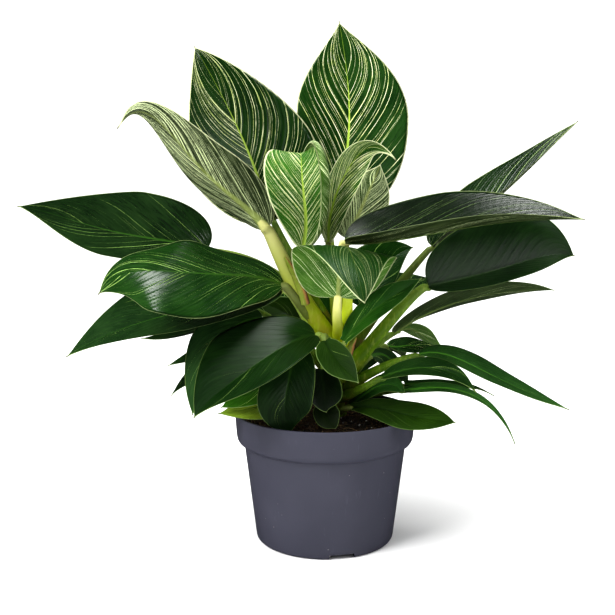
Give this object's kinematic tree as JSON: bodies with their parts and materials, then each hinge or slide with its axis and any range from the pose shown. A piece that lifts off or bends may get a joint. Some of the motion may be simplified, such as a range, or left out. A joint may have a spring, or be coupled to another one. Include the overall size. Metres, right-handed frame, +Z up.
{
  "type": "philodendron birkin",
  "caption": "Leafy aroid house plant with white-pinstriped pointed leaves on long stalks from one short trunk, growing in peat in a round nursery pot.",
  "frame": {"origin": "middle of the pot's underside, on the pot's axis, at the height of the surface it stands on", "axes": "+Z up along the pot's axis; -Y towards the side the plant is seen from; +X to that viewer's right"},
  "size_m": [0.4204, 0.2533, 0.3751],
  "materials": {
    "pot": "satin",
    "peat": "matte",
    "stalk": "satin",
    "leaf": "gloss",
    "sheath": "matte"
  },
  "bodies": {
    "root": {"pot": "pot", "soil": "peat", "stem_and_stalks": "stalk", "leaf_crown_right": "leaf", "leaf_crown_left": "leaf", "leaf_pale_left": "leaf", "leaf_curled_centre": "leaf", "leaf_curled_right": "leaf", "leaf_spear_right": "leaf", "leaf_front_centre": "leaf", "leaf_right_long": "leaf", "leaf_right_back": "leaf", "leaf_right_big": "leaf", "leaf_right_pale": "leaf", "leaf_right_narrow": "leaf", "leaf_right_low": "leaf", "leaf_right_low_short": "leaf", "leaf_right_long_thin": "leaf", "leaf_right_thin_tip": "leaf", "leaf_right_front_low": "leaf", "leaf_right_small_arch": "leaf", "leaf_back_right_pale": "leaf", "leaf_back_right_broad": "leaf", "leaf_back_right_dark": "leaf", "leaf_left_upper": "leaf", "leaf_left_glossy": "leaf", "leaf_left_under": "leaf", "leaf_left_shadow": "leaf", "leaf_front_left_big": "leaf", "leaf_left_dark": "leaf", "leaf_left_tip_pale": "leaf", "leaf_left_tip_dark": "leaf", "leaf_left_low_green": "leaf", "leaf_left_low_yellow": "leaf", "leaf_front_hanging": "leaf", "leaf_front_dark": "leaf", "leaf_front_soil": "leaf", "leaf_front_small": "leaf", "leaf_centre_back": "leaf", "leaf_back_left_green": "leaf", "leaf_right_behind": "leaf", "leaf_back_left": "leaf", "leaf_back_right": "leaf", "leaf_back_middle": "leaf", "leaf_back_low_left": "leaf", "leaf_back_low_right": "leaf", "sheath_left": "sheath", "sheath_right": "sheath"}
  },
  "joints": []
}
